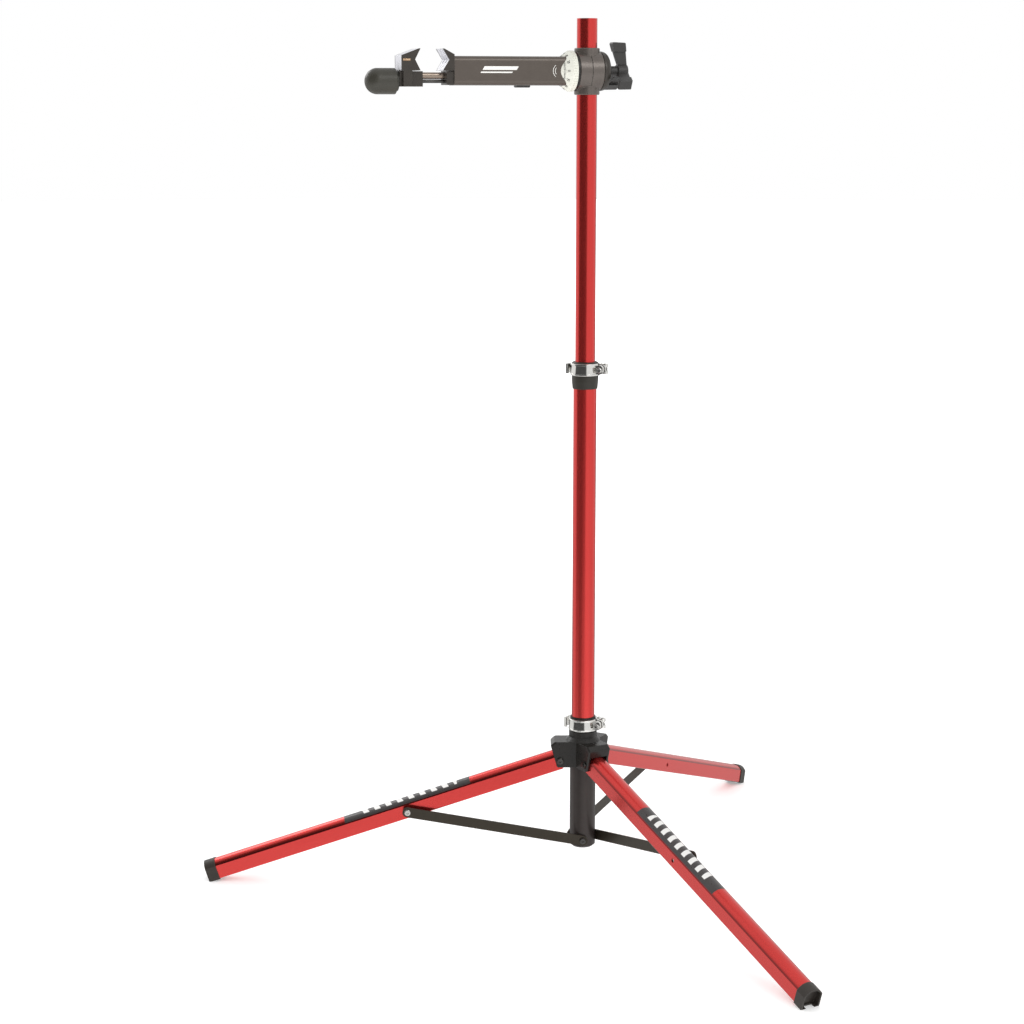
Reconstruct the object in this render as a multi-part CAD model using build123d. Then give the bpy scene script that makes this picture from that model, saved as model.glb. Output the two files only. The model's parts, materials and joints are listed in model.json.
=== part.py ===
from build123d import *
import os
from math import atan2, cos, degrees, radians, sin, sqrt

# Folding bicycle repair stand, in millimetres. +Z is up and the floor is z = 0.
# The mast stands on the Z axis and the clamp arm points along -X.

# Mast
UPPER_R, UPPER_WALL = 19.05, 1.8
LOWER_R, LOWER_WALL = 22.25, 1.65
UPPER_BOTTOM, UPPER_TOP = 681.0, 1664.5
LOWER_BOTTOM, LOWER_TOP = 80.0, 1012.0
SLEEVE_R, SLEEVE_BOTTOM, SLEEVE_TOP = 25.0, 75.0, 235.5
RUN_FIT = 0.08
FACE_GAP = 0.4

# Tripod legs: a bread-loaf tube with flat sides and an arched crown
LEG_AZIMUTHS = {"left": 162.7, "front": 282.7, "rear": 42.7}
LEG_TILT = 18.4
LEG_PIVOT_RADIUS = 45.0
LEG_WIDTH, LEG_HEIGHT, LEG_SIDE_HEIGHT, LEG_WALL = 36.0, 38.0, 27.0, 2.0
LEG_REACH = 734.0
LEG_TUBE_END = 718.0
LEG_NOSE_R = 16.8
CAP_GROW, CAP_LENGTH, CAP_CAVITY, SOLE_DEPTH = 1.3, 22.0, 12.0, 2.0
LEG_PIVOT_Z = (LEG_REACH * sin(radians(LEG_TILT)) - SOLE_DEPTH
               + (LEG_HEIGHT / 2 + CAP_GROW) * cos(radians(LEG_TILT)))
PIVOT_BOLT_R = 4.0

# Braces: flat bars from the bottom of the sleeve to the legs
BRACE_WIDTH, BRACE_INNER, BRACE_OUTER = 20.0, 26.0, 29.0
BRACE_BASE_Z = 88.0
BRACE_ALONG_LEG, BRACE_BELOW_LINE = 315.5, 4.0
BRACE_BOLT_R, NUT_HOLE_R = 3.0, 4.2
BRACE_END_R = (LEG_PIVOT_RADIUS + BRACE_ALONG_LEG * cos(radians(LEG_TILT))
               - BRACE_BELOW_LINE * sin(radians(LEG_TILT)))
BRACE_END_Z = (LEG_PIVOT_Z - BRACE_ALONG_LEG * sin(radians(LEG_TILT))
               - BRACE_BELOW_LINE * cos(radians(LEG_TILT)))
BRACE_LENGTH = sqrt(BRACE_END_R ** 2 + (BRACE_END_Z - BRACE_BASE_Z) ** 2)
BRACE_RISE = degrees(atan2(BRACE_END_Z - BRACE_BASE_Z, BRACE_END_R))

# Hub that carries the legs and slides on the lower mast tube
HUB_BOTTOM, HUB_TOP, HUB_NECK_TOP, HUB_SEAT_TOP = 236.0, 287.0, 306.5, 333.0
HUB_CORE_R, HUB_SHOULDER_R, HUB_NECK_R, HUB_SEAT_R = 25.5, 34.0, 27.2, 24.9
LINER_WALL = 1.1
LOBE_HALF_WIDTH, LOBE_CHEEK, LOBE_LOW_REACH, LOBE_REACH = 24.2, 5.7, 51.0, 63.5
SLOT_ROOM = 0.6

# Quick release collars, in a frame whose x axis runs through the ears
RING_R, RING_BORE, RING_HEIGHT = 28.2, 25.0, 23.0
RING_MIDDLE = RING_HEIGHT / 2
RING_LIP, RING_WAIST_LOW, RING_WAIST_HIGH = 3.6, 0.4, 2.0
EAR_AZIMUTH = -43.0
EAR_REACH, EAR_HEIGHT, EAR_INNER, EAR_OUTER = 40.0, 17.0, 2.5, 9.0
SKEWER_R, SKEWER_OUT, BARREL_SIDE, BARREL_R = 3.0, 34.0, 16.8, 6.5
LEVER_R, LEVER_THICK, LEVER_HEIGHT, LEVER_PIN_R = 35.0, 4.4, 19.0, 2.4
LEVER_START, LEVER_SWEEP = 24.0, 166.0
LEVER_OPENING = 120.0
MID_RING_BOTTOM, HUB_RING_BOTTOM = 1003.5, 307.5

# Head and clamp arm, measured from the mast axis along the arm and up from its axis
ARM_Z = 1569.0
HEAD_BOTTOM, HEAD_TOP, HEAD_SLEEVE_R = 1526.0, 1611.0, 23.6
BARREL_HALF, HEAD_BARREL_R = 24.0, 36.0
SHAFT_R, BUSHING_R, CAP_BORE_R = 6.0, 9.0, 6.5
HEAD_SCREW_R, HEAD_SCREW_UP, HEAD_SCREW_SIDE = 2.5, 22.0, 24.0
DOME_END, DOME_ROUND = -39.0, 13.0
ARM_START, ARM_END, ROOT_END = 31.0, 261.0, 75.0
ARM_HEIGHT, ARM_DEPTH, ARM_WALL, ARM_CORNER = 52.5, 44.0, 2.6, 9.0
DIAL_START, DIAL_RIM, DIAL_END, DIAL_R, DIAL_TIP_R = 28.0, 38.0, 59.0, 37.3, 21.4
DIAL_TEETH = 48
ROD_UP, ROD_R, ROD_START, ROD_END = -9.0, 6.0, 150.0, 352.0
SPINDLE_UP, SPINDLE_R, SPINDLE_START = -18.9, 3.3, 140.0

# Jaws
JAW_UP, JAW_HALF_HEIGHT, JAW_HALF_DEPTH, JAW_CHEEK = 19.5, 19.5, 25.0, 3.0
INNER_BACK, INNER_VERTEX, INNER_TIP, INNER_SLOPE = 261.4, 271.0, 283.0, 10.0
OUTER_BACK, OUTER_VERTEX, OUTER_TIP, OUTER_SLOPE = 360.0, 335.0, 325.0, 12.0
JAW_LIP, SPINE_THICK = 2.5, 4.5
JAW_BASE, FOOT_TOP, FOOT_START, JAW_REAR = -28.5, -1.2, 319.0, 362.0
KNOB_FRONT, KNOB_BACK, KNOB_SHOULDER, KNOB_TIP = 362.4, 366.5, 397.0, 422.5
KNOB_R, KNOB_NECK_R = 23.4, 17.5

# Wing knob behind the head, and the release button under the arm
WING_STEM, WING_STEM_R, WING_INNER, WING_MIDDLE, WING_OUTER = -40.2, 9.5, -46.0, -61.0, -77.0
WING_REACH, WING_WEB, WING_END_WIDTH, WING_END_START = 53.0, 9.0, 17.0, 36.0
BUTTON_NEAR, BUTTON_FAR, BUTTON_HALF, BUTTON_BASE = 113.0, 139.0, 8.6, -30.0
FLANGE_LOW, FLANGE_TOP, CHANNEL_HALF, CHANNEL_FLOOR = -23.2, -21.2, 6.2, -26.6
GUIDE_LOW, GUIDE_TOP = -14.5, -13.0
SPRING_R, SPRING_WIRE, SPRING_SIDE = 2.0, 0.35, 9.4

LOW = (Align.CENTER, Align.CENTER, Align.MIN)
AXIAL = (Align.NONE, Align.NONE, Align.CENTER)


def block(x0, x1, y0, y1, z0, z1):
    """Box between two corners."""
    return Pos((x0 + x1) / 2, (y0 + y1) / 2, (z0 + z1) / 2) * Box(x1 - x0, y1 - y0, z1 - z0)


def z_pin(radius, z0, z1, x=0.0, y=0.0):
    """Solid round along Z."""
    return Pos(x, y, z0) * Cylinder(radius, z1 - z0, align=LOW)


def y_pin(radius, y0, y1, x=0.0, z=0.0):
    """Solid round along Y."""
    return Pos(x, (y0 + y1) / 2, z) * Rot(90, 0, 0) * Cylinder(radius, y1 - y0)


def y_slab(face, y0, y1):
    """Solid from a flat (x, z) face, between two places on Y."""
    return Pos(0, y0, 0) * extrude(Plane.XZ * face, amount=y1 - y0, dir=(0, 1, 0))


def y_hexagon(radius, y0, y1, x=0.0, z=0.0):
    """Solid hexagon along Y."""
    return Pos(x, 0, z) * y_slab(RegularPolygon(radius, 6), y0, y1)


def ring(outer, inner, z0, z1):
    """Round wall about Z."""
    return z_pin(outer, z0, z1) - z_pin(inner, z0 - 1, z1 + 1)


def spun(points):
    """Solid of revolution about Z from (radius, height) corners."""
    return revolve(make_face(Plane.XZ * Polyline(*points, close=True)), Axis.Z)


def prism(points, y0, y1):
    """Solid from (x, z) corners, between two places on Y."""
    return y_slab(make_face(Polyline(*points, close=True)), y0, y1)


def joined(shapes):
    """One shape from several."""
    total = shapes[0]
    for shape in shapes[1:]:
        total += shape
    return total


def button_head(radius, y0, y1, x=0.0, z=0.0):
    """Round screw head along Y with a rounded rim and a hexagon socket."""
    head = y_pin(radius, y0, y1, x, z)
    rim = head.edges().filter_by(GeomType.CIRCLE).sort_by(Axis.Y)[-1]
    return fillet(rim, (y1 - y0) / 2) - y_hexagon(radius * 0.42, y1 - 1.8, y1 + 1, x, z)


# Frames -------------------------------------------------------------------------------

ARM_FRAME = Location((0, 0, ARM_Z), (0, -90, 0))


def on_arm(shape):
    """Place a shape whose x is up, y sideways and z along the arm from the mast."""
    return ARM_FRAME * shape


def on_leg(azimuth, shape):
    """Place a shape whose x runs down the leg from its pivot and z up from its crown."""
    frame = Rot(0, 0, azimuth) * Pos(LEG_PIVOT_RADIUS, 0, LEG_PIVOT_Z) * Rot(0, LEG_TILT, 0)
    return frame * shape


def on_brace(azimuth, shape):
    """Place a shape whose x runs from the sleeve pin to the leg pin."""
    return Rot(0, 0, azimuth) * Pos(0, 0, BRACE_BASE_Z) * Rot(0, -BRACE_RISE, 0) * shape


def on_collar(bottom, shape):
    """Place a shape whose x runs through the collar's ears, z up from its lower edge."""
    return Pos(0, 0, bottom) * Rot(0, 0, EAR_AZIMUTH) * shape


# Mast ---------------------------------------------------------------------------------

def make_lower_tube():
    return ring(LOWER_R, LOWER_R - LOWER_WALL, LOWER_BOTTOM, LOWER_TOP)


def make_sleeve():
    sleeve = ring(SLEEVE_R, LOWER_R, SLEEVE_BOTTOM, SLEEVE_TOP)
    for azimuth in LEG_AZIMUTHS.values():
        sleeve -= Rot(0, 0, azimuth) * y_pin(BRACE_BOLT_R, 10, 40, 0, BRACE_BASE_Z)
    return sleeve


def make_base_plug():
    """Plug that closes the bottom of the sleeve and the tube."""
    bore = LOWER_R - LOWER_WALL
    return spun([(0, 71), (20, 71), (24.6, SLEEVE_BOTTOM), (LOWER_R, SLEEVE_BOTTOM),
                 (LOWER_R, LOWER_BOTTOM), (bore, LOWER_BOTTOM), (bore, 97), (bore - 3, 97),
                 (bore - 3, LOWER_BOTTOM), (0, LOWER_BOTTOM)])


def make_base_bolt():
    """Bolt through the sleeve wall that a brace turns on."""
    bolt = y_pin(BRACE_BOLT_R, LOWER_R + 0.1, BRACE_OUTER + 1)
    washer = y_pin(6.0, LOWER_R + 1, BRACE_INNER - FACE_GAP)
    washer -= Rot(0, BRACE_RISE, 0) * z_pin(SLEEVE_R, -30, 30)
    return bolt + washer + button_head(6.2, BRACE_OUTER + FACE_GAP, BRACE_OUTER + 3.4)


def make_mid_bushing():
    """Black bushing at the top of the lower tube that guides the upper one."""
    top = MID_RING_BOTTOM + RING_HEIGHT
    bore = UPPER_R + RUN_FIT
    seat = RING_BORE - 0.05
    body = spun([(bore, LOWER_TOP), (bore, top + 2.5), (bore + 4, top + 2.5), (seat, top + 1),
                 (seat, MID_RING_BOTTOM - 0.5), (25.6, MID_RING_BOTTOM - 0.5), (25.2, 992),
                 (23.9, 978), (LOWER_R, 978), (LOWER_R, LOWER_TOP)])
    return body - Rot(0, 0, EAR_AZIMUTH) * block(0, 40, -1.2, 1.2, LOWER_TOP + 2, top + 4)


def make_glide_bushing():
    """Cup round the foot of the upper tube: it slides in the lower tube."""
    outer = LOWER_R - LOWER_WALL - RUN_FIT
    inner = UPPER_R + RUN_FIT
    return spun([(14, UPPER_BOTTOM - 5), (outer, UPPER_BOTTOM - 5), (outer, UPPER_BOTTOM + 35),
                 (inner, UPPER_BOTTOM + 35), (inner, UPPER_BOTTOM - FACE_GAP),
                 (14, UPPER_BOTTOM - FACE_GAP)])


def make_upper_tube():
    tube = ring(UPPER_R, UPPER_R - UPPER_WALL, UPPER_BOTTOM, UPPER_TOP)
    return tube - on_arm(z_pin(SHAFT_R + 0.6, -40, 40))


def make_top_plug():
    bore = UPPER_R - UPPER_WALL
    return z_pin(bore, UPPER_TOP - 10, UPPER_TOP - 3) - z_pin(bore - 4, UPPER_TOP - 5, UPPER_TOP)


# Quick release collars ------------------------------------------------------------------

def make_ring():
    """Split clamp ring with a lip at each edge, and two ears."""
    band = fillet(z_pin(RING_R, 0, RING_HEIGHT).edges(), 1.2)
    band -= spun([(RING_R + 1, RING_LIP), (RING_R - RING_WAIST_LOW, RING_LIP),
                  (RING_R - RING_WAIST_HIGH, RING_HEIGHT - RING_LIP), (RING_R + 1, RING_HEIGHT - RING_LIP)])
    low, high = RING_MIDDLE - EAR_HEIGHT / 2, RING_MIDDLE + EAR_HEIGHT / 2
    for y0, y1 in ((EAR_INNER, EAR_OUTER), (-EAR_OUTER, -EAR_INNER)):
        ear = block(20, EAR_REACH, y0, y1, low, high)
        ear = fillet(ear.edges().filter_by(Axis.Y).sort_by(Axis.X)[-2:], 6)
        band += ear
    band -= z_pin(RING_BORE, -1, RING_HEIGHT + 1)
    band -= block(0, EAR_REACH + 5, -EAR_INNER, EAR_INNER, -1, RING_HEIGHT + 1)
    return band - y_pin(SKEWER_R, -20, 20, SKEWER_OUT, RING_MIDDLE)


def make_skewer():
    """Bolt through the ears, with its round nut and the lever's pin."""
    bolt = y_pin(SKEWER_R, -EAR_OUTER - 2, BARREL_SIDE, SKEWER_OUT, RING_MIDDLE)
    nut = y_pin(5.6, -EAR_OUTER - 6.5, -EAR_OUTER, SKEWER_OUT, RING_MIDDLE)
    nut = chamfer(nut.edges().filter_by(GeomType.CIRCLE).sort_by(Axis.Y)[0], 1.2)
    nut -= y_hexagon(2.6, -EAR_OUTER - 7, -EAR_OUTER - 3.5, SKEWER_OUT, RING_MIDDLE)
    half = LEVER_HEIGHT / 2 + 0.8
    pin = z_pin(LEVER_PIN_R, RING_MIDDLE - half, RING_MIDDLE + half, SKEWER_OUT, BARREL_SIDE)
    return bolt + nut + pin


def make_cam_washer():
    """Dark washer between an ear and the lever's barrel."""
    washer = y_pin(6.2, EAR_OUTER, EAR_OUTER + 3, SKEWER_OUT, RING_MIDDLE)
    washer -= y_pin(SKEWER_R, EAR_OUTER - 1, EAR_OUTER + 4, SKEWER_OUT, RING_MIDDLE)
    return washer - z_pin(BARREL_R + FACE_GAP, -10, 40, SKEWER_OUT, BARREL_SIDE)


def make_lever():
    """Curved lever with its barrel, a slot for the bolt and a bore for the pin."""
    z0, z1 = RING_MIDDLE - LEVER_HEIGHT / 2, RING_MIDDLE + LEVER_HEIGHT / 2
    face = Pos(LEVER_R, RING_MIDDLE) * RectangleRounded(LEVER_THICK, LEVER_HEIGHT, 1.4)
    blade = Rot(0, 0, LEVER_START) * revolve(Plane.XZ * face, Axis.Z, LEVER_SWEEP)
    end = radians(LEVER_START + LEVER_SWEEP)
    tip = z_pin(LEVER_THICK / 2 + 0.8, z0, z1, LEVER_R * cos(end), LEVER_R * sin(end))
    lever = blade + tip + z_pin(BARREL_R, z0, z1, SKEWER_OUT, BARREL_SIDE)
    room = SKEWER_R + FACE_GAP
    at_barrel = Pos(SKEWER_OUT, BARREL_SIDE, RING_MIDDLE)
    swing = Rot(0, 0, -90) * Cylinder(BARREL_R + 8, 2 * room, arc_size=LEVER_OPENING, align=AXIAL)
    lever -= at_barrel * swing
    lever -= block(SKEWER_OUT - room, SKEWER_OUT + room, 0, BARREL_SIDE,
                   RING_MIDDLE - room, RING_MIDDLE + room)
    far_side = radians(LEVER_OPENING - 90)
    wide = Rot(0, 0, degrees(far_side)) * block(0, BARREL_R + 8, -room, room, -room, room)
    lever -= at_barrel * wide
    return lever - z_pin(LEVER_PIN_R + RUN_FIT, -10, 40, SKEWER_OUT, BARREL_SIDE)


# Hub -----------------------------------------------------------------------------------

def make_lobe():
    """One lobe of the hub, solid, pointing along X."""
    lobe = prism([(0, HUB_BOTTOM), (LOBE_LOW_REACH, HUB_BOTTOM), (LOBE_REACH, HUB_TOP - 7),
                  (LOBE_REACH - 8, HUB_TOP), (0, HUB_TOP)], -LOBE_HALF_WIDTH, LOBE_HALF_WIDTH)
    outer = lobe.edges().filter_by_position(Axis.X, LOBE_LOW_REACH - 2, LOBE_REACH + 1)
    return fillet(outer, 3.5)


def make_leg_slot(half_width):
    """Room for a leg: its roof follows the crown of the spread leg, which rests under it."""
    tilt, above = radians(LEG_TILT), LEG_HEIGHT / 2 + SLOT_ROOM
    knee_x, knee_z = LEG_PIVOT_RADIUS + above * sin(tilt), LEG_PIVOT_Z + above * cos(tilt)
    far_x = LOBE_REACH + 10
    near_x = HUB_CORE_R + 0.15
    return prism([(near_x, HUB_BOTTOM - 5), (far_x, HUB_BOTTOM - 5),
                  (far_x, knee_z - (far_x - knee_x) * sin(tilt) / cos(tilt)), (knee_x, knee_z),
                  (near_x, knee_z)], -half_width, half_width)


def make_hub():
    lobes, slots = [], []
    cheek_in = LOBE_HALF_WIDTH - LOBE_CHEEK
    for azimuth in LEG_AZIMUTHS.values():
        turn = Rot(0, 0, azimuth)
        lobes.append(turn * make_lobe())
        slots.append(turn * make_leg_slot(cheek_in))
        slots.append(turn * y_pin(PIVOT_BOLT_R, -40, 40, LEG_PIVOT_RADIUS, LEG_PIVOT_Z))
    core = z_pin(HUB_CORE_R, HUB_BOTTOM, HUB_TOP)
    shoulder = Pos(0, 0, HUB_TOP) * Cone(HUB_SHOULDER_R, HUB_NECK_R, 7, align=LOW)
    neck = chamfer(z_pin(HUB_NECK_R, HUB_TOP, HUB_NECK_TOP).edges(), 0.8)
    seat = z_pin(HUB_SEAT_R, HUB_NECK_TOP - 2, HUB_SEAT_TOP)
    hub = joined(lobes + [core, shoulder, neck, seat])
    for slot in slots:
        hub -= slot
    hub -= z_pin(LOWER_R + RUN_FIT + LINER_WALL, HUB_BOTTOM - 1, HUB_SEAT_TOP + 1)
    return hub - Rot(0, 0, EAR_AZIMUTH) * block(0, 40, -1.2, 1.2, HUB_NECK_TOP + 3, HUB_SEAT_TOP + 1)


def make_hub_liner():
    inner = LOWER_R + RUN_FIT
    return ring(inner + LINER_WALL, inner, HUB_BOTTOM, HUB_SEAT_TOP + 1.5)


def make_leg_pivot_bolt():
    """Bolt through both cheeks of a lobe, with its head and nut."""
    face = LOBE_HALF_WIDTH
    bolt = y_pin(PIVOT_BOLT_R, -face - 6, face + 1)
    nut = y_hexagon(7.2, -face - 4, -face)
    return Pos(LEG_PIVOT_RADIUS, 0, LEG_PIVOT_Z) * (bolt + nut + button_head(6.8, face, face + 3.6))


# Legs and braces -------------------------------------------------------------------------

def loaf_bar(grow, start, end):
    """Solid bar of the leg's outline, bigger by grow all round, between two places."""
    half, low, high = LEG_WIDTH / 2 + grow, -LEG_HEIGHT / 2 - grow, LEG_HEIGHT / 2 + grow
    shoulder = LEG_SIDE_HEIGHT - LEG_HEIGHT / 2
    sides = Polyline((half, shoulder), (half, low), (-half, low), (-half, shoulder))
    face = make_face(sides + ThreePointArc((half, shoulder), (0, high), (-half, shoulder)))
    face = fillet(face.vertices().sort_by(Axis.Y)[:2], 2.5)
    return Pos(start, 0, 0) * extrude(Plane.YZ * face, amount=end - start, dir=(1, 0, 0))


def make_leg():
    tube = loaf_bar(0, -LEG_NOSE_R, LEG_TUBE_END) - loaf_bar(-LEG_WALL, -60, LEG_REACH)
    tube = tube & (block(0, LEG_REACH, -40, 40, -40, 40) + y_pin(LEG_NOSE_R, -40, 40))
    tube -= y_pin(PIVOT_BOLT_R + RUN_FIT, -40, 40)
    tube -= y_pin(NUT_HOLE_R, -40, -LEG_WIDTH / 4, BRACE_ALONG_LEG, -BRACE_BELOW_LINE)
    return tube - y_pin(BRACE_BOLT_R, -40, 40, BRACE_ALONG_LEG, -BRACE_BELOW_LINE)


def make_foot_cap():
    """Rubber cap: sleeve and plug on the tube, hollow end with an arched mouth."""
    start, web = LEG_REACH - CAP_LENGTH, LEG_REACH - CAP_CAVITY
    bottom = -LEG_HEIGHT / 2
    cap = loaf_bar(CAP_GROW, start, LEG_REACH) - loaf_bar(0, start - 1, LEG_TUBE_END)
    plug = loaf_bar(-LEG_WALL - 0.05, start - 12, LEG_TUBE_END + 1)
    cap += plug - loaf_bar(-LEG_WALL - 2.6, start - 13, LEG_TUBE_END - 3)
    cap += block(start - 9, start + 1, -5, 5, bottom - CAP_GROW, bottom)
    cap -= loaf_bar(-1.6, web, LEG_REACH + 1)
    return cap - Pos(web + 3, 0, bottom - 3) * Rot(0, 90, 0) * Cylinder(10, 40, align=LOW)


def make_brace_spacer():
    """Spacer on the leg's side, with its shank and nut inside the leg."""
    x, z, half = BRACE_ALONG_LEG, -BRACE_BELOW_LINE, LEG_WIDTH / 2
    shank = y_pin(BRACE_BOLT_R - 0.05, 4 - half, half + 1, x, z)
    nut = y_hexagon(5.5, LEG_WALL - half, LEG_WALL + 4 - half, x, z)
    return shank + nut + y_pin(6.5, half, BRACE_INNER - FACE_GAP, x, z)


def make_brace():
    """Flat bar with round ends and a hole in each."""
    bar = Pos(BRACE_LENGTH / 2, 0) * SlotCenterToCenter(BRACE_LENGTH, BRACE_WIDTH)
    bar -= Circle(BRACE_BOLT_R + RUN_FIT)
    bar -= Pos(BRACE_LENGTH, 0) * Circle(BRACE_BOLT_R)
    return y_slab(bar, BRACE_INNER, BRACE_OUTER)


def make_brace_bolt():
    """Button head bolt that stays in the brace's outer end."""
    shank = y_pin(BRACE_BOLT_R, BRACE_INNER, BRACE_OUTER + 1, BRACE_LENGTH)
    return shank + button_head(6.2, BRACE_OUTER, BRACE_OUTER + 3, BRACE_LENGTH)


# Head -----------------------------------------------------------------------------------

def head_screw_places():
    for up in (-HEAD_SCREW_UP, HEAD_SCREW_UP):
        for side in (-HEAD_SCREW_SIDE, HEAD_SCREW_SIDE):
            yield up, side


def make_casting_half(side):
    """Half of the head casting: side -1 towards the arm, side 1 away from it."""
    barrel = chamfer(z_pin(HEAD_BARREL_R, -BARREL_HALF, BARREL_HALF).edges(), 1.5)
    barrel -= ring(HEAD_BARREL_R + 2, HEAD_BARREL_R - 0.8, -0.6, 0.6)
    barrel -= z_pin(BUSHING_R, -60, 60)
    for up, across in head_screw_places():
        barrel -= z_pin(HEAD_SCREW_R, -20, 20, up, across)
    sleeve = chamfer(z_pin(HEAD_SLEEVE_R, HEAD_BOTTOM, HEAD_TOP).edges(), 1.3)
    sleeve -= on_arm(z_pin(HEAD_BARREL_R - 2, -60, 60))
    body = on_arm(barrel) + sleeve - z_pin(UPPER_R, HEAD_BOTTOM - 1, HEAD_TOP + 1)
    x0, x1 = sorted((side * 0.05, side * 90))
    return body & block(x0, x1, -90, 90, HEAD_BOTTOM - 5, HEAD_TOP + 5)


def make_head_screws():
    screws = [z_pin(HEAD_SCREW_R, -19.8, 19.8, up, across) for up, across in head_screw_places()]
    return on_arm(joined(screws))


def make_head_bushings():
    face = UPPER_R + 0.3
    bushings = ring(BUSHING_R, SHAFT_R + RUN_FIT, face, BARREL_HALF)
    return on_arm(bushings + ring(BUSHING_R, SHAFT_R + RUN_FIT, -BARREL_HALF, -face))


def make_friction_ring():
    return on_arm(ring(HEAD_BARREL_R + 0.2, 14, BARREL_HALF, DIAL_START - FACE_GAP))


def make_dome_cap():
    dome = z_pin(HEAD_BARREL_R, DOME_END, -BARREL_HALF)
    dome = fillet(dome.edges().filter_by(GeomType.CIRCLE).sort_by(Axis.Z)[0], DOME_ROUND)
    return on_arm(dome - z_pin(CAP_BORE_R, DOME_END - 1, 0))


# Clamp arm ---------------------------------------------------------------------------------

def arm_bar(shrink, start, end):
    """Solid bar of the arm's outline, smaller by shrink all round, between two places."""
    face = RectangleRounded(ARM_HEIGHT - 2 * shrink, ARM_DEPTH - 2 * shrink, ARM_CORNER - shrink)
    return Pos(0, 0, start) * extrude(face, amount=end - start)


def make_arm():
    arm = arm_bar(0, ARM_START, ARM_END) - arm_bar(ARM_WALL, ARM_START - 1, ARM_END + 1)
    half = BUTTON_HALF + FACE_GAP
    return on_arm(arm - block(-40, -15, -half, half, BUTTON_NEAR - FACE_GAP, BUTTON_FAR + FACE_GAP))


def make_arm_root():
    """Block that fixes the shaft in the root of the arm."""
    return on_arm(arm_bar(ARM_WALL, ARM_START, ROOT_END) - z_pin(SHAFT_R, 0, ROOT_END - 8))


def make_shaft():
    return on_arm(z_pin(SHAFT_R, WING_MIDDLE - 6, ROOT_END - 8))


def make_dial():
    """Angle dial: a knurled rim and a cone, with a pocket for the arm."""
    dial = spun([(0, DIAL_START), (DIAL_R - 1, DIAL_START), (DIAL_R, DIAL_START + 1),
                 (DIAL_R, DIAL_RIM - 1), (DIAL_R - 1, DIAL_RIM + 1), (DIAL_TIP_R, DIAL_END),
                 (0, DIAL_END)])
    for index in range(DIAL_TEETH):
        groove = z_pin(0.9, DIAL_START - 1, DIAL_RIM - 1.5, DIAL_R + 0.1)
        dial -= Rot(0, 0, index * 360 / DIAL_TEETH) * groove
    return on_arm(dial - arm_bar(0, ARM_START, DIAL_END + 1) - z_pin(SHAFT_R + 0.4, 0, ARM_START + 1))


def make_nose():
    """Dark end cap of the arm, with the bores of the guide rod and the spindle."""
    plug = arm_bar(ARM_WALL, ARM_END - 18, ARM_END) & block(-60, -0.5, -60, 60, 200, 300)
    face = block(-25.6, -0.6, -19, 19, ARM_END, ARM_END + 14)
    face = fillet(face.edges().filter_by(Axis.Z), 1.2)
    nose = plug + face - z_pin(ROD_R + RUN_FIT, ARM_END - 20, ARM_END + 20, ROD_UP)
    return on_arm(nose - z_pin(SPINDLE_R + FACE_GAP, ARM_END - 20, ARM_END + 20, SPINDLE_UP))


def jaw_outline(tip, vertex, back, slope):
    """Side outline of a jaw as (up, along) corners: V mouth, sloped crown, back."""
    low, high = JAW_UP - JAW_HALF_HEIGHT, JAW_UP + JAW_HALF_HEIGHT
    lip = tip + (JAW_LIP if back > tip else -JAW_LIP)
    return [(low, tip), (JAW_UP, vertex), (high, tip), (high, lip), (high - slope, back),
            (low, back), (low, lip)]


def jaw_cheeks(outline):
    """The two dark end plates of a jaw."""
    inside = JAW_HALF_DEPTH - JAW_CHEEK
    return prism(outline, -JAW_HALF_DEPTH, -inside) + prism(outline, inside, JAW_HALF_DEPTH)


def pad_grooves(tip, vertex):
    """Two relief grooves across the root of a pad's V."""
    low, high = min(tip, vertex - 4), max(tip, vertex + 4)
    grooves = [block(JAW_UP - 6, JAW_UP + 6, side - 2.5, side + 2.5, low, high) for side in (-9, 9)]
    return joined(grooves)


INNER_OUTLINE = jaw_outline(INNER_TIP, INNER_VERTEX, INNER_BACK, INNER_SLOPE)
OUTER_OUTLINE = jaw_outline(OUTER_TIP, OUTER_VERTEX, OUTER_BACK, OUTER_SLOPE)


def inner_holder_shape():
    spine = block(0, JAW_UP + 8, -JAW_HALF_DEPTH, JAW_HALF_DEPTH, INNER_BACK, INNER_BACK + SPINE_THICK)
    tail = arm_bar(ARM_WALL, ARM_END - 18, INNER_BACK + 1) & block(0.2, 60, -60, 60, 200, 300)
    return jaw_cheeks(INNER_OUTLINE) + spine + tail


def make_inner_pad():
    """Light V pad between the end plates of the inner jaw."""
    pad = prism(INNER_OUTLINE, -JAW_HALF_DEPTH, JAW_HALF_DEPTH) - inner_holder_shape()
    return on_arm(pad - pad_grooves(INNER_TIP, INNER_VERTEX))


def outer_jaw_shape():
    """Dark outer jaw: end plates, post and the foot that rides on the guide rod."""
    post = block(JAW_BASE, JAW_UP + 7, -JAW_HALF_DEPTH, JAW_HALF_DEPTH, 341, 357)
    low_post = block(JAW_BASE, 0.5, -17, 17, 338, JAW_REAR)
    foot = block(JAW_BASE, FOOT_TOP, -17, 17, FOOT_START, 345)
    jaw = jaw_cheeks(OUTER_OUTLINE) + post + low_post + foot
    for side in (-1, 1):
        jaw -= z_pin(2.7, 344, 358, JAW_UP - 0.5, side * (JAW_HALF_DEPTH - 1.2))
    jaw -= z_pin(ROD_R + RUN_FIT, 300, ROD_END + 7, ROD_UP)
    return jaw - z_pin(SPINDLE_R + 0.3, 300, 400, SPINDLE_UP)


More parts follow.
